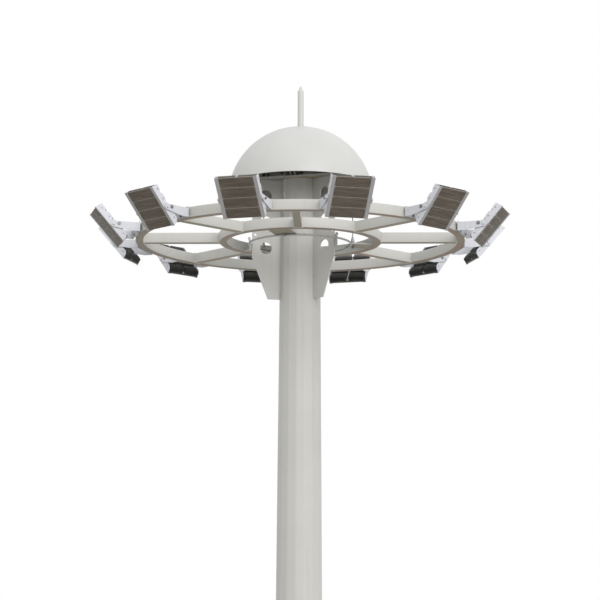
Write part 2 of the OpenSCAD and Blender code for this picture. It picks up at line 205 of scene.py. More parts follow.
def pick(kind, test):
    """Selects, in edit mode, the points, edges or faces that a test of their middle and way accepts."""
    bpy.ops.mesh.select_mode(type=kind)
    bpy.ops.mesh.select_all(action="DESELECT")
    data = bpy.context.object.data
    mesh = bmesh.from_edit_mesh(data)
    mesh.normal_update()
    for part in {"VERT": mesh.verts, "EDGE": mesh.edges, "FACE": mesh.faces}[kind]:
        if kind == "VERT":
            middle, way = part.co, part.normal
        elif kind == "EDGE":
            a, b = (v.co for v in part.verts)
            middle, way = (a + b) / 2, b - a
        else:
            middle, way = part.calc_center_median(), part.normal
        if test(middle, way):
            part.select_set(True)
    bmesh.update_edit_mesh(data)
print("selection helpers ready")

# %% Shaping and finishing helpers
def rounded(width, segments=2, affect="EDGES"):
    bpy.ops.mesh.bevel(offset=width, segments=segments, affect=affect)

def spun(steps, centre):
    """Spins the whole profile once round an upright axis and merges the seam."""
    bpy.ops.mesh.select_all(action="SELECT")
    bpy.ops.mesh.spin(steps=steps, angle=radians(360), center=centre, axis=(0, 0, 1))
    bpy.ops.mesh.select_all(action="SELECT")
    bpy.ops.mesh.remove_doubles(threshold=0.00001)
    bpy.ops.mesh.normals_make_consistent(inside=False)

def modify(piece, kind, **settings):
    """Adds a modifier and applies it at once."""
    only(piece)
    modifier = piece.modifiers.new(kind.lower(), kind)
    for key, value in settings.items():
        setattr(modifier, key, value)
    bpy.ops.object.modifier_apply(modifier=modifier.name)

def copies(piece, places):
    """The piece set down once at each place, all in one mesh."""
    only(piece)
    result = bmesh.new()
    for place in places:
        one = piece.data.copy()
        one.transform(place)
        result.from_mesh(one)
        bpy.data.meshes.remove(one)
    result.to_mesh(piece.data)
    result.free()
    piece.data.update()
    return piece

def finished(piece, body, material, replaces=(), angle=35):
    """Smooths, paints and hangs a piece on its body."""
    only(piece)
    bpy.ops.object.shade_smooth_by_angle(angle=radians(angle))
    piece.data.materials.clear()
    piece.data.materials.append(material)
    piece.data.name = piece.name
    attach(piece, body)
    if replaces:
        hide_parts(*replaces)
    triangles = sum(len(p.vertices) - 2 for p in piece.data.polygons)
    print(f"{piece.name}: {triangles} triangles on {body}")
print("finishing helpers ready")

# %% [markdown]
# ## Writing finishes
# A finish is a node tree, and its masks are sums. This small class wraps a socket, so that a sum
# written in Python adds its Math nodes, and its node method makes every other node. Patterns are read
# in the object's own metres, so a speck has the same size on every piece.

# %% Sums on sockets
class Value:
    """A socket of a finish. Python's + - and * on it add the Math nodes that work them out."""

    def __init__(self, tree, socket):
        self.tree, self.socket = tree, socket

    def node(self, kind, settings, inputs, output=0):
        """Any node: its type, its settings, then the values or links of its sockets."""
        made = self.tree.nodes.new(kind)
        for key, value in settings.items():
            setattr(made, key, value)
        for key, value in inputs.items():
            if isinstance(value, Value):
                self.tree.links.new(value.socket, made.inputs[key])
            else:
                made.inputs[key].default_value = value
        return Value(self.tree, made.outputs[output])

    def sum(self, operation, *terms):
        return self.node("ShaderNodeMath", {"operation": operation}, dict(enumerate(terms)))

    def __add__(self, other):
        return self.sum("ADD", self, other)

    def __sub__(self, other):
        return self.sum("SUBTRACT", self, other)

    def __rsub__(self, other):
        return self.sum("SUBTRACT", other, self)

    def __mul__(self, other):
        return self.sum("MULTIPLY", self, other)

    __radd__, __rmul__ = __add__, __mul__
print("sums ready")

# %% Patterns that finishes share
def stretched(place, x, y, z):
    """The object's coordinates, made denser by a factor along each axis."""
    return place.node("ShaderNodeVectorMath", {"operation": "MULTIPLY"}, {0: place, 1: (x, y, z)})

def cloud(place, scale, detail=3.0, rough=0.55):
    """Soft noise from 0 to 1."""
    return place.node("ShaderNodeTexNoise", {}, {"Vector": place, "Scale": scale, "Detail": detail,
                                                 "Roughness": rough})

def cells(place, scale, output="Distance"):
    """Distance or colour of scattered cells, for specks and zinc crystals."""
    return place.node("ShaderNodeTexVoronoi", {}, {"Vector": place, "Scale": scale}, output)

def fade(value, low, high):
    """0 below low, 1 above high, smooth between."""
    return value.node("ShaderNodeMapRange", {"interpolation_type": "SMOOTHSTEP"},
                      {"Value": value, "From Min": low, "From Max": high})

def mixed(factor, under, over):
    """One colour over another by a mask. A colour is three numbers or a socket."""
    under, over = (c if isinstance(c, Value) else (*c, 1.0) for c in (under, over))
    return factor.node("ShaderNodeMix", {"data_type": "RGBA"}, {0: factor, 6: under, 7: over}, 2)

def part(value, axis):
    """One component of a vector, 0 to 2."""
    return value.node("ShaderNodeSeparateXYZ", {}, {0: value}, axis)
print("patterns ready")

# %% A new finish
def finish(name, **fixed):
    """A material, its shader, and the values that its masks start from."""
    material = bpy.data.materials.new(name)
    material.use_nodes = True
    tree = material.node_tree
    shader = tree.nodes["Principled BSDF"]
    for key, value in fixed.items():
        shader.inputs[key.replace("_", " ")].default_value = value
    coordinates = tree.nodes.new("ShaderNodeTexCoord")
    geometry = tree.nodes.new("ShaderNodeNewGeometry")
    return (material, shader, Value(tree, coordinates.outputs["Object"]),
            Value(tree, geometry.outputs["Normal"]))

def wear(shader, **values):
    """Links what varies over the surface to the shader's sockets."""
    for key, value in values.items():
        value.tree.links.new(value.socket, shader.inputs[key.replace("_", " ")])

def bumped(height, distance, strength=1.0, under=None):
    """Relief of a height in metres, over other relief if there is some."""
    inputs = {"Height": height, "Distance": distance, "Strength": strength}
    if under:
        inputs["Normal"] = under
    return height.node("ShaderNodeBump", {}, inputs)
print("finish helpers ready")

# %% [markdown]
# ## Floor
# The mast stands on a plain pale floor, much wider than the mast is tall, so that the light from
# below is even all along it. A faint mottling keeps it from looking like paper.

# %% Lay the floor
floor_r = 400
pale, shader, place, normal = finish("pale floor", Roughness=0.9)
wear(shader, Base_Color=mixed(cloud(place, 0.6), (0.59, 0.59, 0.575), (0.63, 0.63, 0.615)))
floor = start(bpy.ops.mesh.primitive_circle_add, "floor", vertices=96, radius=floor_r, fill_type="NGON",
              location=(0, 0, -0.002))
only(floor)
floor.data.materials.append(pale)
print("floor radius", floor_r, "m")

# %% [markdown]
# ## Painted steel
# The mast, the dome and the carriage are galvanised and then coated off-white. Outdoors the coat gets
# soft cloudy patches, grey streaks where rain runs down, small specks, and a brown tone on the faces
# that look down, which is painted shade with some dirt. One recipe makes every coat, each with its own tones.

# %% The coat's recipe
grime, rust_tone, soil = (0.30, 0.26, 0.21), (0.30, 0.17, 0.10), (0.235, 0.21, 0.165)
# Dark primer with painted shade for the dome's inside, and a paler tone near its rim.
shaded_cap_tones = (0.100, 0.096, 0.082), (0.062, 0.060, 0.051)
pale_rim_tone = (0.30, 0.29, 0.26)

def coat(name, tone, shade_and_dirt_tone, rough, streak=0.35, rust=0.0, splash=0.0, shell=None):
    """An off-white coating. Faces that look down get painted shade with some dirt. Splash is soil on
    the foot. A shell, given by its middle's height, its radius and its rim, is dark primer and
    painted shade within, paler near the rim."""
    material, shader, place, normal = finish(name, Specular_IOR_Level=0.4)
    patches = cloud(place, 1.7, 5, 0.6)
    runs = cloud(stretched(place, 26, 26, 0.9), 1.0, 5, 0.6)
    facing = part(normal, 2)
    sides = 1 - fade(facing * facing, 0.25, 0.8)
    under = fade(0 - facing, 0.35, 0.85)
    dull = [c * k for c, k in zip(tone, (0.86, 0.84, 0.80))]
    base = mixed(fade(patches, 0.35, 0.7), tone, [c * 0.95 for c in tone])
    base = mixed(fade(runs, 0.5, 0.78) * sides * streak, base, dull)
    specks = fade(0.16 - cells(place, 22), 0.0, 0.1) * fade(cloud(place, 5.0), 0.55, 0.7)
    base = mixed(specks * 0.5, base, grime)
    # Faces that look down take the shade-and-dirt tone, mottled: painted shade with some dirt.
    shade_and_stain = mixed(fade(cloud(place, 3.1, 4), 0.46, 0.66), shade_and_dirt_tone,
                    [c * k for c, k in zip(shade_and_dirt_tone, (1.18, 0.93, 0.84))])
    base = mixed(under * (0.86 + 0.14 * patches), base, shade_and_stain)
    if rust:
        base = mixed(fade(cloud(place, 6.5, 6, 0.7), 0.68, 0.8) * rust, base, rust_tone)
    if splash:
        soiled = 1 - fade(part(place, 2) + 0.35 * cloud(place, 7, 5), 0.10, 0.80)
        base = mixed(soiled * splash, base, soil)
    # Inside the dome: dark primer with painted shade, paler near the rim and darker deeper in.
    if shell:
        middle_z, radius, rim_z = shell
        depth = place.node("ShaderNodeVectorMath", {"operation": "DISTANCE"},
                           {0: place, 1: (0, 0, middle_z)}, "Value")
        shaded_cap_inside = mixed(patches, *shaded_cap_tones)
        shaded_cap_inside = mixed(fade(part(place, 2), rim_z + 0.08, rim_z + 0.30), pale_rim_tone, shaded_cap_inside)
        base = mixed(1 - fade(depth, radius - 0.0025, radius - 0.0005), base, shaded_cap_inside)
    peel = cloud(place, 420, 2)
    wave = cloud(place, 9, 2)
    wear(shader, Base_Color=base, Roughness=rough + 0.22 * patches + 0.15 * under,
         Normal=bumped(peel, 0.0003, 0.5, bumped(wave, 0.002, 0.35)))
    return material

# Each coat's second tone is painted shade with some dirt, for the faces that look down.
steel_tone = (0.465, 0.46, 0.434)
mast_paint = coat("mast coating", (0.435, 0.43, 0.407), (0.21, 0.20, 0.152), 0.34, streak=0.55, splash=0.6)
dome_paint = coat("dome coating", (0.49, 0.49, 0.477), (0.04, 0.038, 0.031), 0.30, streak=0.2,
                  shell=(dome_top - dome_r, dome_r, dome_rim_z))
carriage_paint = coat("carriage coating", steel_tone, (0.215, 0.193, 0.147), 0.36, rust=0.25)
ring_paint = coat("ring coating", steel_tone, (0.190, 0.155, 0.118), 0.36, rust=0.3)
print("coats:", mast_paint.name, "/", dome_paint.name, "/", carriage_paint.name, "/", ring_paint.name)

# %% [markdown]
# ## Weld beads
# A weld is a row of small ripples under the same paint, with a little rust bleeding from it. The
# ripples are bump from a cell pattern so fine that it reads as scales along the bead.

# %% The weld's finish
welded, shader, place, normal = finish("painted weld", Specular_IOR_Level=0.4)
bleed = fade(cloud(place, 14, 5, 0.65), 0.5, 0.72)
wear(shader, Base_Color=mixed(bleed, (0.44, 0.425, 0.39), (0.28, 0.20, 0.14)),
     Roughness=0.45 + 0.3 * bleed, Normal=bumped(cells(place, 180), 0.0015, 0.8))
print(welded.name)

# %% [markdown]
# ## Bare zinc, iron and wire
# The sheave brackets, the guide ring and the rope ends are only hot-dip galvanised. Molten zinc
# freezes into a mosaic of grey crystals, which a cell pattern gives, each cell with its own tone. The
# sheaves are dark cast iron, and the ropes are stranded steel with grease in the lays.

# %% Zinc, iron, wire and bolts
zinc, shader, place, normal = finish("hot-dip zinc", Metallic=0.55)
crystal = part(cells(place, 55, "Color"), 0)
age = cloud(place, 4, 4)
wear(shader, Base_Color=mixed(crystal * 0.6 + age * 0.4, (0.28, 0.28, 0.275), (0.45, 0.45, 0.44)),
     Roughness=0.38 + 0.25 * crystal, Normal=bumped(cloud(place, 150, 3), 0.0005, 0.4))

iron, shader, place, normal = finish("sheave iron", Metallic=0.6)
grain = cloud(place, 260, 4, 0.7)
wear(shader, Base_Color=mixed(fade(cloud(place, 30, 4), 0.45, 0.7), (0.045, 0.043, 0.04),
                              (0.14, 0.085, 0.05)),
     Roughness=0.45 + 0.3 * grain, Normal=bumped(grain, 0.0006, 0.6))

wire, shader, place, normal = finish("rope wire", Metallic=0.3)
grease = fade(cloud(stretched(place, 1, 1, 0.3), 70, 3), 0.4, 0.7)
wear(shader, Base_Color=mixed(grease, (0.26, 0.26, 0.25), (0.18, 0.165, 0.145)),
     Roughness=0.35 + 0.3 * grease, Normal=bumped(cloud(place, 900, 2), 0.0003, 0.5))

bolt_steel, shader, place, normal = finish("bolt steel", Metallic=0.8)
spots = fade(cloud(place, 45, 4), 0.5, 0.75)
wear(shader, Base_Color=mixed(spots, (0.27, 0.27, 0.27), (0.20, 0.14, 0.10)),
     Roughness=0.4 + 0.35 * spots, Normal=bumped(cloud(place, 500, 2), 0.0003, 0.5))
print("metals:", zinc.name, iron.name, wire.name, bolt_steel.name)

# %% [markdown]
# ## Floodlight finishes
# The side plates and brackets have a pale blue-grey powder coat with a fine peel, with painted shade
# on the faces that look down. The module bodies are dark cast aluminium, paler on top with chalky dust
# and painted light from the sky. The lens covers are brown-grey, because the eye sees the phosphor of
# the diodes through them, and the small dome over each diode is smoother.

# %% Powder coat and dark casting
powder, shader, place, normal = finish("blue-grey powder coat", Specular_IOR_Level=0.45)
clouds = cloud(place, 7, 4)
drips = fade(cloud(stretched(place, 40, 40, 3), 1.0, 4), 0.52, 0.75)
below = fade(0 - part(normal, 2), 0.25, 0.75)
base = mixed(clouds * 0.6, (0.53, 0.54, 0.575), (0.475, 0.48, 0.51))
base = mixed(drips * 0.35, base, (0.40, 0.39, 0.38))
# Faces that look down are darkened to brown grey: painted shade.
wear(shader, Base_Color=mixed(below * 0.8, base, (0.185, 0.172, 0.160)),
     Roughness=0.36 + 0.2 * clouds, Normal=bumped(cloud(place, 650, 2), 0.0003, 0.5))

casting, shader, place, normal = finish("dark casting", Specular_IOR_Level=0.5)
# Paler in patches on upward faces: chalky dust and painted light from the sky.
chalk_and_sky_light = fade(part(normal, 2), 0.0, 0.6) * fade(cloud(place, 18, 4), 0.25, 0.6)
wear(shader, Base_Color=mixed(chalk_and_sky_light * 0.8, (0.040, 0.040, 0.039), (0.185, 0.175, 0.158)),
     Roughness=0.36 + 0.3 * chalk_and_sky_light, Normal=bumped(cloud(place, 380, 3), 0.0004, 0.6))
print(powder.name, "/", casting.name)

# %% Lens covers, diodes and trims
lens_cover, shader, place, normal = finish("lens cover", Specular_IOR_Level=0.35)
haze = cloud(place, 6, 4)
grit = fade(cloud(place, 120, 3), 0.55, 0.8)
rows_dust = fade(cloud(stretched(place, 7, 7, 95), 1.0, 4), 0.42, 0.68)
wear(shader, Base_Color=mixed(haze * 0.35 + grit * 0.35 + rows_dust * 0.4, (0.060, 0.046, 0.033),
                              (0.122, 0.097, 0.075)),
     Roughness=0.28 + 0.25 * haze, Normal=bumped(cloud(place, 300, 2), 0.0002, 0.3))

diode, shader, place, normal = finish("diode dome", Specular_IOR_Level=0.5)
warm = fade(cloud(stretched(place, 7, 7, 95), 1.0, 4), 0.38, 0.62)
wear(shader, Base_Color=mixed(warm, (0.058, 0.043, 0.029), (0.120, 0.091, 0.061)),
     Roughness=0.16 + 0.1 * warm, Normal=bumped(cloud(place, 700, 2), 0.0001, 0.3))

trim, shader, place, normal = finish("module trim", Metallic=0.2)
dull = cloud(place, 30, 4)
wear(shader, Base_Color=mixed(dull, (0.29, 0.26, 0.225), (0.20, 0.175, 0.145)),
     Roughness=0.42 + 0.25 * dull, Normal=bumped(cloud(place, 500, 2), 0.0003, 0.4))
print(lens_cover.name, "/", diode.name, "/", trim.name)

# %% [markdown]
# ## CAD pieces that keep their shape
# Plates, brackets, sheaves and side plates are already right in the CAD model. They stay, and only
# take their finish. What is replaced further down gets its finish there.

# %% Paint the CAD nodes
by_slot = {"mast_paint": mast_paint, "dome_paint": dome_paint, "carriage_paint": carriage_paint,
           "galvanised_steel": zinc, "sheave_iron": iron, "wire_rope": wire, "lamp_bracket": powder,
           "led_module": casting}
for entry in frame["record"]["subparts"]:
    for slot in nodes[entry["node"]].material_slots:
        slot.material = by_slot[entry["material_slot"]]
nodes["lightning_rod"].material_slots[0].material = dome_paint
nodes["guide_ring"].material_slots[0].material = zinc
print("painted", len(by_slot), "kinds of surface")

# %% [markdown]
# ## The pole's two sections
# Each section is folded from plate: sixteen flats with bends between them, not sharp corners. The long
# edges of a sixteen-sided open tube are bevelled into bends, it is turned to the CAD model's corners,
# and a solidify modifier gives it its wall. The slip joint shows as the upper section's lower edge
# standing round the lower one. The door's opening is cut with a boolean.

# %% Fold a section
def folded_tube(name, node, wall, bend=0.008):
    """An open sixteen-sided tapered tube between the node's lowest and highest points."""
    low, high = heights(node)
    r_low, r_high = reach(node, low), reach(node, high)
    tube = cylinder(name, 16, r_low, high - low, end_fill_type="NOTHING", location=(0, 0, (low + high) / 2))
    pick("VERT", lambda p, way: p.z > high - 0.01)
    bpy.ops.transform.resize(value=(r_high / r_low, r_high / r_low, 1), center_override=(0, 0, high))
    pick("EDGE", lambda p, way: abs(way.z) > 1)
    rounded(bend, 3)
    only(tube)
    tube.data.transform(turn_z(fold_turn))
    modify(tube, "SOLIDIFY", thickness=wall, offset=-1, use_even_offset=True)
    return tube

upper = folded_tube("upper_shaft", "upper_section", wall=0.005)
lower = folded_tube("lower_shaft", "lower_section", wall=0.006)
finished(upper, "mast", mast_paint, ["upper_section"], angle=3)

# %% Cut the door's opening
door_low, door_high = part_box("access_door")
door_middle = (door_low + door_high) / 2
door_azimuth = azimuth_of(door_middle)
door_w, door_h, door_r, cut = 0.240, door_high.z - door_low.z, 0.045, 0.5
hole = cube("door_hole", (0, -cut / 2, door_middle.z), (door_w, cut, door_h))
pick("EDGE", lambda p, way: abs(way.y) > 0.1)
rounded(door_r, 8)
only(hole)
hole.data.transform(turn_z(door_azimuth))
modify(lower, "BOOLEAN", operation="DIFFERENCE", solver="EXACT", object=hole)
bpy.data.objects.remove(hole)
finished(lower, "mast", mast_paint, ["lower_section"], angle=3)
print("door at azimuth", round(door_azimuth, 2))

# %% [markdown]
# ## The dome
# The real dome is one smooth pressed shell, open below. A fine sphere is cut off at the rim by a
# bisect, the rim is drawn inwards a little into a stiffening lip, and the shell gets its wall.

# %% Press the dome
lip_h = 0.001
dome = start(bpy.ops.mesh.primitive_uv_sphere_add, "dome_shell", segments=144, ring_count=72,
             radius=dome_r, location=(0, 0, dome_top - dome_r))
bpy.ops.mesh.bisect(plane_co=(0, 0, dome_rim_z + lip_h), plane_no=(0, 0, 1), clear_inner=True)
pick("EDGE", lambda p, way: p.z < dome_rim_z + 1.5 * lip_h and abs(way.z) < 0.0005)
bpy.ops.mesh.extrude_edges_move(TRANSFORM_OT_translate={"value": (0, 0, -lip_h)})
bpy.ops.transform.resize(value=(0.985, 0.985, 1), center_override=(0, 0, dome_rim_z))
modify(dome, "SOLIDIFY", thickness=0.003, offset=-1)
finished(dome, "mast", dome_paint, ["dome"], angle=40)
print("dome", [round(v, 3) for v in dome.dimensions])

# %% [markdown]
# ## The carriage's rings
# The two rings are rolled from rectangular tube, which has round corners. A rectangle with bevelled
# corners stands upright at the ring's radius, its face is taken out, and its edges are spun once round
# the mast. The spin's doubles are merged, and then the normals are made to point outwards.

# %% Roll the rings
def rolled_ring(name, outer, steps):
    """A ring of round-cornered box section, its outer side at a radius."""
    ring = start(bpy.ops.mesh.primitive_plane_add, name, (box_w, box_h, 1), size=1, rotation=LYING,
                 location=(outer - box_w / 2, 0, ring_mid))
    rounded(tube_corner, 3, "VERTICES")
    bpy.ops.mesh.select_all(action="SELECT")
    bpy.ops.mesh.delete(type="ONLY_FACE")
    bpy.ops.mesh.select_mode(type="EDGE")
    spun(steps, (0, 0, 0))
    return ring

for node, outer, steps in (("outer_ring", ring_r, 192), ("middle_ring", middle_r, 128)):
    ring = rolled_ring(f"{node}_tube", outer, steps)
    finished(ring, "carriage", ring_paint, [node], angle=20)

# %% [markdown]
# ## Spokes and their welds
# Eight lengths of the same tube are welded between the rings. One is a cube stretched to its length
# with its long edges bevelled, and it is copied round. Each end gets a weld collar: a flat block round
# the tube whose free face is drawn in, so that its sides slope like a fillet weld.

# %% Cut and copy the spokes
sunk = 0.001
inner_end, outer_end = middle_r - sunk, ring_r - box_w + sunk
spokes = cube("spoke_tubes", (0, -(inner_end + outer_end) / 2, ring_mid),
              (box_w, outer_end - inner_end, box_h))
pick("EDGE", lambda p, way: abs(way.y) > 0.1)
rounded(tube_corner, 3)
finished(copies(spokes, turned(spoke_azimuths)), "carriage", carriage_paint, ["spokes"],
         angle=20)

# %% Weld the spoke ends
def weld_pad(name, middle, size, face, towards=1):
    """A block with one face drawn in to a width and height; towards is 1 outwards, -1 inwards."""
    pad = cube(name, middle, size)
    pick("FACE", lambda p, way: way.y * towards < -0.9)
    bpy.ops.transform.resize(value=(face[0] / size[0], 1, face[1] / size[2]),
                             center_override=(0, 0, middle[2]))
    pick("EDGE", lambda p, way: True)
    rounded(0.0015, 2)
    return pad

throat = 0.006
collar = (box_w + 2 * throat, throat + 2 * sunk, box_h + 1.1 * throat)
for name, at, towards in (("outer_spoke_welds", ring_r - box_w, -1), ("inner_spoke_welds", middle_r, 1)):
    middle = (0, -(at + towards * (throat / 2 - sunk)), ring_mid)
    welds = copies(weld_pad(name, middle, collar, (box_w, box_h), towards), turned(spoke_azimuths))
    finished(welds, "carriage", welded)

# %% [markdown]
# ## Bolts
# What shows of a bolt is a washer and a hexagon head with a chamfered crown. It is shaped along -Y,
# as seen from outside the mast, and every bolted joint takes copies of one in its own size.

# %% Shape a bolt
def bolt(name, across, head=0.6, washer=2.1):
    """A hexagon bolt head on a washer, its seat at the origin, pointing along -Y."""
    washer_t, head_h = across * 0.14, across * head
    body = cylinder(name, 20, across * washer / 2, washer_t, location=(0, -washer_t / 2, 0), rotation=LYING)
    pick("EDGE", lambda p, way: p.y < -across * 0.13)
    rounded(across * 0.03, 1)
    bpy.ops.mesh.primitive_cylinder_add(vertices=6, radius=across * 0.58, depth=head_h, rotation=LYING,
                                        location=(0, -(washer_t + head_h / 2), 0))
    pick("FACE", lambda p, way: way.y < -0.9 and p.y < -(washer_t + head_h) + 0.0002)
    bpy.ops.mesh.inset(thickness=across * 0.1, depth=0)
    bpy.ops.transform.translate(value=(0, -across * 0.07, 0))
    only(body)
    return body

def bolted(name, across, places, body, **shape):
    """Copies of a bolt at each place, as one piece."""
    piece = copies(bolt(name, across, **shape), places)
    finished(piece, body, bolt_steel, angle=30)

def seat(x, y, z, turn, azimuth, spin=0.0):
    """A place whose bolt points along -Y, turned about its own upright, then round the mast."""
    return turn_z(azimuth) @ shift(x, y, z) @ turn_z(turn) @ Matrix.Rotation(radians(spin), 4, "Y")
print("bolts ready")

# %% [markdown]
# ## Yoke bolts
# Each yoke is held to the ring by four bolts through its base plate, and each arm has a second bolt
# beside the pivot that locks the tilt. The base plate's face stands 12 mm outside the ring, and a weld
# runs round the saddle behind it.

# %% Bolt the yokes
yoke_face, arm_out = ring_r + 0.012, 0.166
holes = [(x, z) for z in (0.02, 0.06) for x in (-0.085, 0.085)]
base_bolts = [seat(x, -yoke_face, ring_z + z, 0, azimuth, 11 * k) for azimuth in lamp_azimuths
              for k, (x, z) in enumerate(holes)]
bolted("yoke_base_bolts", 0.013, base_bolts, "carriage")
lock_back, lock_up = 0.040, 0.004
lock_bolts = [seat(side * arm_out, -(pivot_r - lock_back), pivot_z + lock_up, side * 90, azimuth, 17)
              for azimuth in lamp_azimuths for side in (-1, 1)]
bolted("tilt_lock_bolts", 0.014, lock_bolts, "carriage")

# %% Weld the yokes to the ring
saddle = (0.132, 0.007, 0.074)
saddle_face = (saddle[0] * 0.92, saddle[2] * 0.9)
yoke_welds = weld_pad("yoke_saddle_welds", (0, -(ring_r + 0.0015), ring_mid), saddle, saddle_face)
finished(copies(yoke_welds, turned(lamp_azimuths)), "carriage", welded)

# %% [markdown]
# ## Rope ends
# A wire rope can't be tied to steel. Its end is spread in a tapered socket, whose threaded stem goes
# through the rope plate and is held by a nut, so that the carriage can be levelled. The profile of
# the socket is half of its outline, drawn by extruding a point, and spun round its own axis.

# %% Turn a rope socket
def turned_profile(name, axis_y, outline, steps=24):
    """Spins an outline of radius and height round an upright axis at (0, axis_y)."""
    piece = start(bpy.ops.mesh.primitive_plane_add, name, size=0.01, location=(0, axis_y, outline[0][1]))
    bpy.ops.mesh.select_mode(type="VERT")
    bpy.ops.mesh.select_all(action="SELECT")
    bpy.ops.mesh.merge(type="CENTER")
    bpy.ops.transform.translate(value=(outline[0][0], 0, 0))
    for (r0, z0), (r1, z1) in zip(outline, outline[1:]):
        bpy.ops.mesh.extrude_vertices_move(TRANSFORM_OT_translate={"value": (r1 - r0, 0, z1 - z0)})
    spun(steps, (0, axis_y, 0))
    return piece

seat_z, socket_high = heights("rope_plates")[1], heights("rope_sockets")[1]
socket_r = 0.014
rope_r = reach("rope_sockets") - socket_r
stem = [(0, 0), (0.024, 0), (0.024, 0.003), (0.018, 0.003), (0.018, 0.010), (0.011, 0.011),
        (0.011, 0.016), (socket_r, 0.019), (socket_r, 0.030)]
basket = [(0.0075, socket_high - 0.004), (0.0058, socket_high), (0.0, socket_high)]
socket = turned_profile("rope_ends", -rope_r, [(r, seat_z + z) for r, z in stem] + basket)
copies(socket, turned(rope_azimuths))
finished(socket, "carriage", zinc, ["rope_sockets"])
print("ropes at", round(rope_r, 4), "sockets from", round(seat_z, 3), "to", round(socket_high, 3))

# %% Fit the nuts under the plates
nut_h, stem_h = 0.010, 0.022
nut = cylinder("rope_nuts", 6, 0.017, nut_h, location=(0, -rope_r, ring_z - nut_h / 2))
pick("EDGE", lambda p, way: abs(way.z) < 0.001)
rounded(0.0012, 2)
bpy.ops.mesh.primitive_cylinder_add(vertices=16, radius=0.008, depth=stem_h,
                                    location=(0, -rope_r, ring_z - stem_h / 2))
finished(copies(nut, turned(rope_azimuths)), "carriage", bolt_steel)

# %% [markdown]
# ## The wire ropes
# A wire rope is six strands laid in a spiral, so its section is a six-lobed flower that turns as it
# goes along. A circle has every third point pushed in, a Screw modifier sweeps and turns it into a
# straight rope, and a Curve modifier bends that over the two sheaves and down into the pole.

# %% Measure the rope's way
sheave_z = sum(heights("sheaves")) / 2
rope_bottom, rope_top = heights("lift_ropes")
rope_d, pole_inside = 0.008, 0.3
groove_r = rope_top - rope_d / 2 - sheave_z
inside = [v.co.xy.length for v in nodes["lift_ropes"].data.vertices if v.co.z < mast_top - 0.01
          and v.co.xy.length < pole_inside]
rope_in_r = (min(inside) + max(inside)) / 2
print(f"sheave axle {sheave_z:.3f}, groove {groove_r:.4f}, rope inside the pole at {rope_in_r:.4f}")

# %% Lay and bend the ropes
def lay_rope(name, path, diameter, lay=0.055, around=18, step=0.0055):
    """A six-stranded rope along a path of points, starting at the first one."""
    length = sum((b - a).length for a, b in zip(path, path[1:]))
    turns, steps = length / lay, int(length / step)
    rope = start(bpy.ops.mesh.primitive_circle_add, name, vertices=around, radius=diameter / 2,
                 rotation=(0, radians(90), 0))
    only(rope)
    for k in range(0, around, 3):
        rope.data.vertices[k].co *= 0.80
    modify(rope, "SCREW", axis="X", angle=radians(360) * turns, screw_offset=length,
           steps=steps, render_steps=steps, use_merge_vertices=False)
    bpy.ops.object.mode_set(mode="EDIT")
    pick("EDGE", lambda p, way: (p.x < 1e-6 or p.x > length - 1e-6) and abs(way.x) < 1e-6)
    bpy.ops.mesh.edge_face_add()
    bpy.ops.mesh.select_all(action="SELECT")
    bpy.ops.mesh.normals_make_consistent(inside=False)
    guide = bpy.data.curves.new("rope way", "CURVE")
    guide.dimensions = "3D"
    spline = guide.splines.new("POLY")
    spline.points.add(len(path) - 1)
    for point, place in zip(spline.points, path):
        point.co = (*place, 1)
    way = put("rope way", guide)
    modify(rope, "CURVE", object=way, deform_axis="POS_X")
    bpy.data.objects.remove(way)
    return rope

def arc(radius, middle, first, last, steps=16):
    """Points of an upright arc, as distances from the mast's axis and heights."""
    angles = [radians(first + (last - first) * k / steps) for k in range(steps + 1)]
    return [(middle + radius * math.cos(a), sheave_z + radius * math.sin(a)) for a in angles]

outer_axle, inner_axle = rope_r - groove_r, rope_in_r + groove_r
way = [(rope_r, rope_bottom), *arc(groove_r, outer_axle, 0, 90), *arc(groove_r, inner_axle, 90, 180),
       (rope_in_r, mast_top - 0.25)]
for number, azimuth in enumerate(rope_azimuths, 1):
    rope = lay_rope(f"lift_rope_{number}", [spot(azimuth, r, z) for r, z in way], rope_d)
    only(rope)
    bpy.ops.object.shade_smooth_by_angle(angle=radians(60))
    rope.data.materials.append(wire)
    top = spot(azimuth, rope_r, sheave_z)
    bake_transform(rope)
    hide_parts("lift_ropes")
    print(rope.name, len(rope.data.polygons), "faces,", [round(v, 3) for v in rope.dimensions])

# %% [markdown]
# ## The floodlights
# Each floodlight is four LED modules between two stepped side plates, tilted in its yoke. One is
# modelled flat on the bench, with X along the pivots, Y up its face and Z out of it, and is then
# copied into its place round the ring. The place is read from the joints and from the CAD modules.

# %% Measure one floodlight
def bench_to_place(pivot, azimuth, tilt):
    """Turns and moves a lamp that is built round its pivot into its place on the ring."""
    return Matrix.Translation(pivot) @ turn_z(azimuth) @ Matrix.Rotation(radians(180 - tilt), 4, "X")

def face_tilt(node, azimuth):
    """The angle of a lamp's face from horizontal, from the normal of its largest flat."""
    back = Matrix.Rotation(radians(-azimuth), 3, "Z")
    areas = {}
    for polygon in nodes[node].data.polygons:
        n = back @ polygon.normal
        if n.z < -0.1 and n.y < -0.1 and abs(n.x) < 0.1:
            angle = round(math.degrees(math.atan2(-n.y, -n.z)), 1)
            areas[angle] = areas.get(angle, 0) + polygon.area
    return max(areas, key=areas.get)

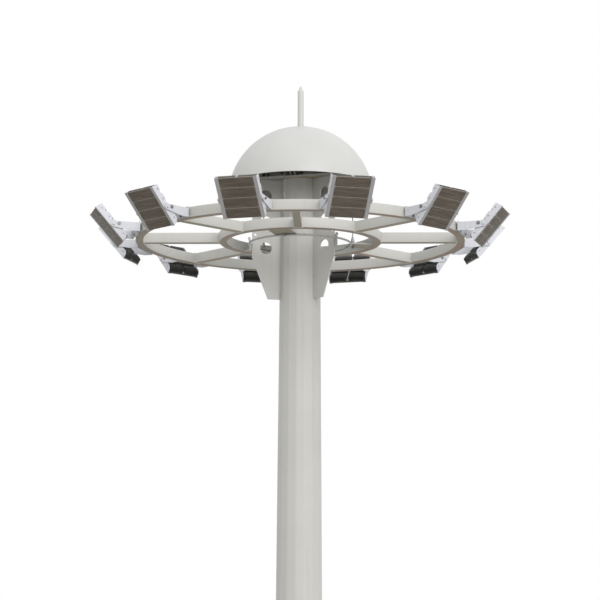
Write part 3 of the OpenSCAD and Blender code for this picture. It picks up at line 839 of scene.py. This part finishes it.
tilt = face_tilt("floodlight_01_modules", lamp_azimuths[0])
places = [bench_to_place(pivot, azimuth, tilt) for pivot, azimuth in zip(lamps.values(), lamp_azimuths)]
bench = [places[0].inverted() @ v.co for v in nodes["floodlight_01_modules"].data.vertices]
body_x, body_back, body_front = max(p.x for p in bench), min(p.z for p in bench), max(p.z for p in bench)
face_low, face_high = min(p.y for p in bench), max(p.y for p in bench)
pitch, gap = 0.082, 0.005
module_h = pitch - gap
rows = [(face_low + face_high) / 2 + (k - 1.5) * pitch for k in range(4)]
print(f"tilt {tilt}, half width {body_x:.4f}, back {body_back:.4f}, front {body_front:.4f}")

# %% [markdown]
# ### Module bodies and heat sinks
# A module is a cast plate with two blocks of cooling fins behind it and a free strip between them.
# The fins are thin upright blades with cut corners. A blade is a cube whose rear corners are
# bevelled, copied along X. Hundreds of them are needed, so each has only a few faces.

# %% Cast one module
def box(name, x, y, z, edge=0.0, segments=1):
    """A block between two bounds on each axis, its edges bevelled."""
    bounds = (x, y, z)
    block = cube(name, [(low + high) / 2 for low, high in bounds], [high - low for low, high in bounds])
    if edge:
        rounded(edge, segments)
    only(block)
    return block

def joined(name, *pieces):
    """Several pieces made into one mesh, under the first one's object."""
    only(*pieces)
    bpy.ops.object.join()
    bpy.context.object.name = name
    return bpy.context.object

plate_front, plate_back = body_front - 0.002, body_front - 0.013
root = plate_back + sunk
half_gap, blade_t, blade_step, blades = 0.0125, 0.0022, 0.0096, 14
plate = box("module_plate", (-body_x, body_x), (-module_h / 2, module_h / 2), (plate_back, plate_front),
            0.0018, 2)
blade = cube("blade", (0, 0, (root + body_back) / 2), (blade_t, module_h - 0.004, root - body_back))
pick("EDGE", lambda p, way: abs(way.x) > 0.001 and p.z < 0)
rounded(0.013, 2)
fin_x = [side * (half_gap + 0.002 + k * blade_step) for side in (-1, 1) for k in range(blades)]
copies(blade, [shift(x) for x in fin_x])
ribs = box("sink_ribs", (half_gap, body_x - 0.010), (-0.004, 0.004), (plate_back - 0.012, root))
copies(ribs, turned((0, 180)))
bodies = joined("module_bodies", plate, blade, ribs)
copies(bodies, [shift(y=y) for y in rows])
print(len(fin_x) * len(rows), "fins,", len(bodies.data.polygons), "faces")

# %% [markdown]
# ### Lens covers and diodes
# Behind each cover the diodes sit in straight rows, and the cover is moulded with a shallow rib over
# every row and a small dome over every diode. The cover is a block with bevelled edges, and the ribs
# and domes are the upper halves of flattened cylinders and spheres of a few faces.

# %% Mould the covers
cover_w, cover_h = 0.254, module_h - 0.004
cover = box("cover", (-cover_w / 2, cover_w / 2), (-cover_h / 2, cover_h / 2),
            (body_front - 0.003, body_front), 0.0012, 2)
rib_rows = [(k - 2.5) * 0.0116 for k in range(6)]
rib = cylinder("rib", 12, 0.0044, cover_w - 0.012, rotation=(0, radians(90), 0))
bpy.ops.transform.resize(value=(1, 1, 0.32))
bpy.ops.mesh.bisect(plane_co=(0, 0, -0.0002), plane_no=(0, 0, 1), clear_inner=True, use_fill=True)
copies(rib, [shift(0, y, body_front) for y in rib_rows])
covers = joined("lens_covers", cover, rib)
copies(covers, [shift(y=y) for y in rows])
dome_x = [(k - 9.5) * 0.0122 for k in range(20)]
lens = start(bpy.ops.mesh.primitive_uv_sphere_add, "diode_domes", segments=8, ring_count=4, radius=0.0034)
bpy.ops.mesh.bisect(plane_co=(0, 0, 0), plane_no=(0, 0, 1), clear_inner=True, use_fill=True)
bpy.ops.mesh.select_all(action="SELECT")
bpy.ops.transform.resize(value=(1, 1, 0.62), center_override=(0, 0, 0))
copies(lens, [shift(x, y + row, body_front + 0.0009) for row in rows for y in rib_rows for x in dome_x])
print(len(lens.data.polygons), "faces of diode domes,", len(covers.data.polygons), "of covers")

# %% [markdown]
# ### Trims, spine and screws
# Thin metal strips edge the covers and show as three lines between the modules. Behind, a pale
# spine bar runs across all four modules in the gap between the fins. Each hump of the side plates is
# screwed to its module, and every cover has six small screws of its own.

# %% Fit the trims
edges = [(y, side) for y in rows for side in (-1, 1)]
strip = box("trim", (-cover_w / 2, cover_w / 2), (-0.0014, 0.0014),
            (plate_front - 0.004, body_front - 0.0005), 0.0004)
copies(strip, [shift(y=y + side * (module_h / 2 + 0.0004)) for y, side in edges])
spine_back = plate_back - 0.010
spine = box("spine", (-0.009, 0.009), (face_low + 0.004, face_high - 0.004), (spine_back, root), 0.0015, 2)
spine_bolt = bolt("spine_bolts", 0.007)
spine_bolt.data.transform(Matrix.Rotation(radians(90), 4, "X"))
copies(spine_bolt, [shift(0, y + side * 0.022, spine_back) for y, side in edges])
screw = cylinder("cover_screws", 10, 0.0026, 0.0016, location=(0, 0, body_front))
pick("FACE", lambda p, way: way.z > 0.9)
bpy.ops.mesh.inset(thickness=0.0009, depth=-0.0005)
screw_x, screw_y = cover_w / 2 - 0.005, cover_h / 2 - 0.0036
copies(screw, [shift(x, y + side * screw_y) for y, side in edges for x in (-screw_x, 0, screw_x)])
hump_x = 0.156
hump = bolt("hump_screws", 0.006, head=0.35)
copies(hump, [shift(side * hump_x, y + 0.004, -0.010) @ turn_z(side * 90) for y, side in edges])
fixings = joined("fixings", screw, hump, spine_bolt)
print(len(fixings.data.polygons), "faces of screws and bolts")

# %% [markdown]
# ### Copy the floodlight round the ring
# Every lamp gets its own copy of each part, laid in place by its matrix and hung on its own body.

# %% Hang twelve floodlights
parts = (("sinks", bodies, casting), ("covers", covers, lens_cover), ("diodes", lens, diode),
         ("trims", strip, trim), ("spine", spine, powder), ("fixings", fixings, zinc))
for body, place in zip(lamps, places):
    for label, pattern, material in parts:
        piece = put(f"lamp_{body[-2:]}_{label}", pattern.data.copy())
        piece.data.transform(place)
        replaced = [f"{body}_modules"] if label == "sinks" else []
        finished(piece, body, material, replaced, angle=40)
for _, pattern, _ in parts:
    bpy.data.objects.remove(pattern)
print(len(lamps), "floodlights hung")

# %% [markdown]
# ## Welds at the mast's head
# The guide fins are welded to the pole along their whole length. A bead is a thin bar set in the
# corner of the joint, rounded by a bevel, and it leans with the pole's taper. It shows as a fine line
# on each side of a fin's root.

# %% Weld the fins
def bead(name, low, high, size):
    """A rounded bar between two points, for a weld along a straight joint."""
    along = high - low
    bar = cube(name, (0, 0, 0), (size, size, along.length))
    pick("EDGE", lambda p, way: abs(way.z) > along.length / 2)
    rounded(size * 0.3, 2)
    only(bar)
    lean = along.to_track_quat("Z", "Y").to_matrix().to_4x4()
    bar.data.transform(Matrix.Translation((low + high) / 2) @ lean)
    return bar

fin_low, fin_t = heights("guide_fins")[0], 0.010
slip_z, head_r = heights("upper_section")[0], reach("upper_section", mast_top)
taper = (reach("upper_section", slip_z) - head_r) / (mast_top - slip_z)

def fin_root(side, level, inset):
    """A point of the corner between a fin and the pole's edge, set in from the end of the joint."""
    return Vector((side * fin_t / 2, -(head_r + taper * (mast_top - level) + 0.001), level + inset))

beads = [bead("fin_welds", fin_root(side, fin_low, 0.002), fin_root(side, mast_top, -0.002), 0.007)
         for side in (-1, 1)]
finished(copies(joined("fin_welds", *beads), turned(fin_azimuths)), "mast", welded)

# %% [markdown]
# ## The base
# A ring weld joins the pole to its flange, and a small earthing lug with a bolt stands beside the
# door, where the lightning conductor's cable is clamped.

# %% Weld the pole to the flange
flange_top = heights("base_flange")[1]
foot_r, foot_h = reach("lower_section", flange_top), 0.014
weld_out = foot_r + 0.012
shrink = (foot_r + 0.001) / weld_out
foot_weld = cylinder("foot_weld", 16, weld_out, foot_h, location=(0, 0, flange_top + foot_h / 2))
pick("FACE", lambda p, way: way.z > 0.9)
bpy.ops.transform.resize(value=(shrink, shrink, 1), center_override=(0, 0, flange_top))
only(foot_weld)
foot_weld.data.transform(turn_z(fold_turn))
finished(foot_weld, "mast", welded)

# %% Clamp the earthing lug
lug_azimuth, lug_t, lug_out, lug_z, lug_h = door_azimuth + 45, 0.008, 0.048, 0.385, 0.05
flat_r = foot_r * math.cos(radians(180 / 16))
lug = box("earth_lug", (-lug_t / 2, lug_t / 2), (-flat_r - lug_out, -flat_r + 0.004),
          (lug_z - lug_h / 2, lug_z + lug_h / 2), 0.002, 2)
lug.data.transform(turn_z(lug_azimuth))
finished(lug, "mast", mast_paint)
bolted("earth_bolt", 0.013, [seat(lug_t / 2, -flat_r - 0.028, lug_z, 90, lug_azimuth)], "mast")

# %% [markdown]
# ## Door fittings
# The door lies on the frame's face and hangs on three barrel hinges on its left. Two sunk triangular
# locks hold its right side, and a small rain lip covers its top edge. They are made at azimuth 0 and
# then turned to the door.

# %% Hang the hinges
outward = spot(door_azimuth, 1, 0)
door_face = max(v.co.dot(outward) for v in nodes["access_door"].data.vertices)
door_side = door_w / 2

def on_door(shares):
    """Places on the door, each a share of its height above its middle."""
    return [turn_z(door_azimuth) @ shift(z=door_middle.z + share * door_h) for share in shares]

knuckle_h, leaf_t, leaf_w, leaf_h = 0.0205, 0.0035, 0.045, 0.052
barrel = cylinder("hinge_barrel", 20, 0.0075, knuckle_h,
                  location=(-door_side - 0.001, -door_face - 0.001, 0))
pick("EDGE", lambda p, way: abs(p.z) > knuckle_h / 2 - 0.0005 and abs(way.z) < 0.0001)
rounded(0.0012, 2)
copies(barrel, [shift(z=k * (knuckle_h + 0.001)) for k in (-1, 0, 1)])
leaf = box("hinge_leaf", (-door_side, -door_side + leaf_w), (-door_face - leaf_t, -door_face + 0.001),
           (-leaf_h / 2, leaf_h / 2), 0.001)
leaf_bolts = copies(bolt("leaf_bolts", 0.007), [shift(-door_side + 0.028, -door_face - leaf_t, z)
                                                for z in (-0.016, 0.016)])
hinges = copies(joined("door_hinges", barrel, leaf, leaf_bolts), on_door((-0.36, 0, 0.36)))
finished(hinges, "mast", zinc)

# %% Fit the locks and the rain lip
lock_x, lock_t = door_side - 0.035, 0.005
lock = cylinder("door_locks", 28, 0.016, lock_t, rotation=LYING,
                location=(lock_x, -door_face - lock_t / 2, 0))
pick("FACE", lambda p, way: way.y < -0.9)
bpy.ops.mesh.inset(thickness=0.004, depth=0)
bpy.ops.mesh.inset(thickness=0.0006, depth=-0.003)
bpy.ops.mesh.primitive_cylinder_add(vertices=3, radius=0.006, depth=0.005, rotation=LYING,
                                    location=(lock_x, -door_face - 0.0022, 0))
finished(copies(lock, on_door((-0.26, 0.26))), "mast", zinc)
lip_x, lip_out, lip_low = door_side + 0.01, 0.012, door_high.z + 0.006
lip = box("door_rain_lip", (-lip_x, lip_x), (-door_face - lip_out, -door_face + lip_out),
          (lip_low, lip_low + 0.003), 0.001)
lip.data.transform(turn_z(door_azimuth))
finished(lip, "mast", mast_paint)

# %% [markdown]
# ## Sheave axles
# Each pair of sheaves turns on axles between two upright cheeks. The axles end in nuts outside the
# cheeks, and the cheeks' feet are welded to the head plate.

# %% Fit the axle nuts and weld the cheeks
cheek_out, cheek_in_r, cheek_out_r = 0.020, 0.06, 0.19
axle_nuts = [seat(side * cheek_out, -r, sheave_z, side * 90, azimuth, 12) for azimuth in rope_azimuths
             for r in (inner_axle, outer_axle) for side in (-1, 1)]
bolted("axle_nuts", 0.022, axle_nuts, "mast", washer=1.8)
beads = [bead("cheek_welds", Vector((side * cheek_out, -cheek_in_r, plate_top)),
              Vector((side * cheek_out, -cheek_out_r, plate_top)), 0.006) for side in (-1, 1)]
finished(copies(joined("cheek_welds", *beads), turned(rope_azimuths)), "mast", welded)
